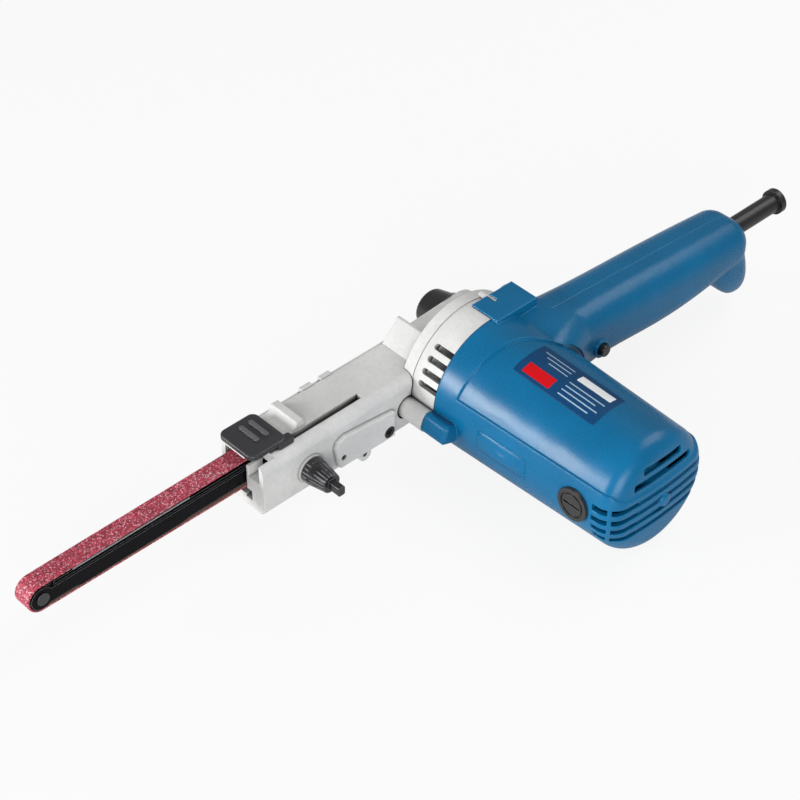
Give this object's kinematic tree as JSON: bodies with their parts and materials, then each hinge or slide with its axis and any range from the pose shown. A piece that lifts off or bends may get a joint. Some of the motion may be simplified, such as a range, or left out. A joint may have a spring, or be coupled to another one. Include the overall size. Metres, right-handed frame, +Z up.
{
  "type": "narrow belt sander",
  "caption": "Hand-held narrow belt sander: cross-mounted motor with rear handle drives an abrasive belt along a slim sprung arm with tension tab and tracking knob.",
  "frame": {"origin": "middle of the flat face under the motor, on which the tool rests", "axes": "+X forward along the belt to its tip, +Y along the motor away from the belt, +Z up"},
  "size_m": [0.413, 0.1582, 0.0633],
  "materials": {
    "blue_plastic": "fine-grained blue moulding",
    "cast_alloy": "pale fine-blasted casting",
    "belt_grit": "red-brown abrasive grit on cloth",
    "arm_black": "black coated steel",
    "black_plastic": "black moulding",
    "black_rubber": "soft black rubber",
    "steel": "bare steel",
    "dark_steel": "blackened steel",
    "copper": "copper",
    "brass": "brass",
    "carbon": "pressed carbon"
  },
  "bodies": {
    "housing": {"sanding_belt": "belt_grit", "carrier_pivot_pin": "steel", "arm_housing": "cast_alloy", "arm_screw": "dark_steel", "belt_cover": "cast_alloy", "belt_cover_screws": "dark_steel", "pulley_cap": "black_plastic", "spindle_bearing": "steel", "spindle_bush": "brass", "bearing_plate": "cast_alloy", "motor_bearing_front": "steel", "gear_housing": "cast_alloy", "housing_screws": "dark_steel", "motor_housing": "blue_plastic", "handle_cover": "blue_plastic", "handle_screws": "dark_steel", "air_baffle": "black_plastic", "stator_core": "dark_steel", "field_coils": "copper", "motor_bearing_rear": "steel", "brush_holders": "brass", "carbon_brushes": "carbon", "brush_springs": "steel", "brush_caps": "black_plastic", "switch_body": "black_plastic", "cord_guard": "black_rubber"},
    "armature": {"armature_shaft": "steel", "armature_core": "dark_steel", "armature_windings": "copper", "commutator": "copper", "cooling_fan": "black_plastic"},
    "spindle": {"spindle": "steel", "drive_pulley": "steel", "pulley_nut": "steel", "spindle_gear": "steel"},
    "carrier": {"arm_carrier": "dark_steel", "tension_spring": "steel"},
    "arm": {"belt_arm": "arm_black", "arm_platens": "steel", "tip_roller_pin": "dark_steel", "tension_tab": "black_plastic"},
    "tip_roller": {"tip_roller": "steel"},
    "tracking_knob": {"tracking_knob": "black_plastic"},
    "trigger": {"trigger": "black_plastic"},
    "lock_button": {"lock_button": "black_plastic"}
  },
  "joints": [
    {"name": "armature_spin", "type": "hinge", "parent": "housing", "child": "armature", "pos_m": [0, 0, 0.0295], "axis": [0, 1, 0], "continuous": true},
    {"name": "spindle_spin", "type": "hinge", "parent": "housing", "child": "spindle", "pos_m": [-0.021, -0.08, 0.0295], "axis": [0, 1, 0], "continuous": true},
    {"name": "tracking_knob_turn", "type": "hinge", "parent": "housing", "child": "tracking_knob", "pos_m": [0.0922, -0.055, 0.0254], "axis": [0, 1, 0], "range_deg": [-180, 180]},
    {"name": "arm_tilt", "type": "hinge", "parent": "housing", "child": "carrier", "pos_m": [0.0526, -0.0698, 0.0295], "axis": [0, 0, 1], "range_deg": [-0.5, 0.5]},
    {"name": "arm_slide", "type": "slide", "parent": "carrier", "child": "arm", "axis": [-1, 0, 0], "range_m": [0, 0.006], "stiffness_N_per_m": 600, "springref_m": -0.015, "deforming": ["tension_spring"]},
    {"name": "tip_roller_spin", "type": "hinge", "parent": "arm", "child": "tip_roller", "pos_m": [0.2224, -0.08, 0.0295], "axis": [0, 1, 0], "continuous": true},
    {"name": "trigger_press", "type": "slide", "parent": "housing", "child": "trigger", "axis": [0, 0, 1], "range_m": [0, 0.005], "stiffness_N_per_m": 500, "springref_m": -0.004},
    {"name": "lock_button_press", "type": "slide", "parent": "housing", "child": "lock_button", "axis": [0, -1, 0], "range_m": [0, 0.002], "stiffness_N_per_m": 400, "springref_m": -0.003}
  ],
  "couplings": [
    {"joint": "spindle_spin", "follows": "armature_spin", "ratio": -0.61538},
    {"joint": "tip_roller_spin", "follows": "armature_spin", "ratio": -0.82418},
    {"joint": "tracking_knob_turn", "follows": "arm_tilt", "ratio": 359.99}
  ]
}
